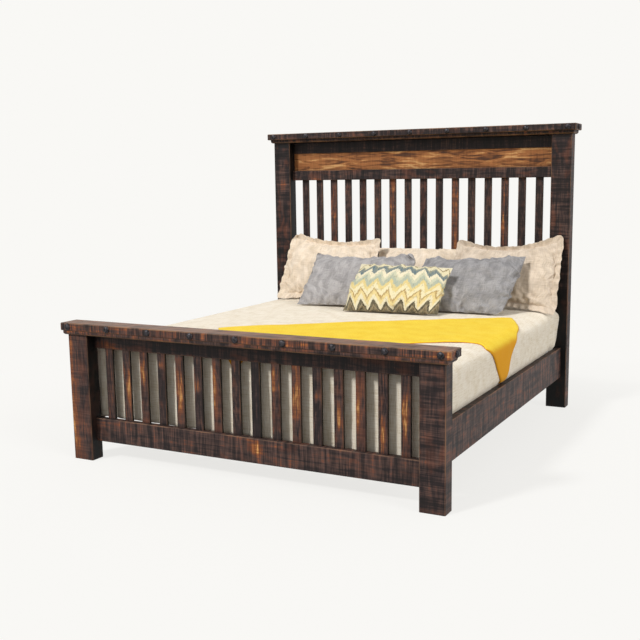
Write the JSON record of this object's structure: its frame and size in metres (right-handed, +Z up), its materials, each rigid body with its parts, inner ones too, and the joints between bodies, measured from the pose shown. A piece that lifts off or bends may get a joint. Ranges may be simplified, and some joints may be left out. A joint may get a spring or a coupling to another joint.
{
  "type": "bed",
  "caption": "King-size bed of dark rough-sawn timber: tall spindle headboard, low spindle footboard, iron studs, linen coverlet, folded throw and pillows.",
  "frame": {"origin": "bottom centre of the whole bed, on the floor", "axes": "+X to the right seen from the foot of the bed, +Y from the footboard to the headboard, +Z up"},
  "size_m": [2.182, 2.309, 1.768],
  "materials": {
    "dark_stained_wood": "rough-sawn timber, dark stain, burnished edges",
    "panel_wood": "natural honey-brown board, satin",
    "slat_wood": "planed softwood, unfinished",
    "forged_iron": "hammered, waxed dark",
    "bracket_steel": "plain rolled steel",
    "mattress_ticking": "woven ticking",
    "beige_linen": "washed linen",
    "yellow_throw": "brushed cotton weave",
    "grey_linen": "washed linen",
    "zigzag_cotton": "printed cotton, zigzag rows"
  },
  "bodies": {
    "frame": {"bed_slats": "slat_wood", "centre_beam": "slat_wood", "centre_legs": "slat_wood", "cleat_left": "slat_wood", "cleat_right": "slat_wood", "footboard_bottom_rail": "dark_stained_wood", "footboard_cap": "dark_stained_wood", "footboard_moulding": "dark_stained_wood", "footboard_post_left": "dark_stained_wood", "footboard_post_right": "dark_stained_wood", "footboard_spindle_01": "dark_stained_wood", "footboard_spindle_02": "dark_stained_wood", "footboard_spindle_03": "dark_stained_wood", "footboard_spindle_04": "dark_stained_wood", "footboard_spindle_05": "dark_stained_wood", "footboard_spindle_06": "dark_stained_wood", "footboard_spindle_07": "dark_stained_wood", "footboard_spindle_08": "dark_stained_wood", "footboard_spindle_09": "dark_stained_wood", "footboard_spindle_10": "dark_stained_wood", "footboard_spindle_11": "dark_stained_wood", "footboard_spindle_12": "dark_stained_wood", "footboard_spindle_13": "dark_stained_wood", "footboard_spindle_14": "dark_stained_wood", "footboard_spindle_15": "dark_stained_wood", "footboard_spindle_16": "dark_stained_wood", "footboard_studs": "forged_iron", "footboard_top_rail": "dark_stained_wood", "headboard_bottom_rail": "dark_stained_wood", "headboard_cap": "dark_stained_wood", "headboard_middle_rail": "dark_stained_wood", "headboard_moulding": "dark_stained_wood", "headboard_panel": "panel_wood", "headboard_post_left": "dark_stained_wood", "headboard_post_right": "dark_stained_wood", "headboard_spindles": "dark_stained_wood", "headboard_studs": "forged_iron", "headboard_top_rail": "dark_stained_wood", "post_slot_plates": "bracket_steel", "rail_hook_plates": "bracket_steel", "side_rail_left": "dark_stained_wood", "side_rail_right": "dark_stained_wood"},
    "bedding": {"box_spring": "mattress_ticking", "mattress": "mattress_ticking", "coverlet": "beige_linen", "throw": "yellow_throw"},
    "pillows": {"grey_pillow_left": "grey_linen", "grey_pillow_right": "grey_linen", "lumbar_pillow": "zigzag_cotton", "sham_left": "beige_linen", "sham_middle": "beige_linen", "sham_right": "beige_linen"}
  },
  "joints": [
    {"name": "bedding_lift", "type": "slide", "parent": "frame", "child": "bedding", "axis": [0, 0, 1], "range_m": [0, 0.22]},
    {"name": "pillows_lift", "type": "slide", "parent": "bedding", "child": "pillows", "axis": [0, 0, 1], "range_m": [0, 0.22]}
  ]
}
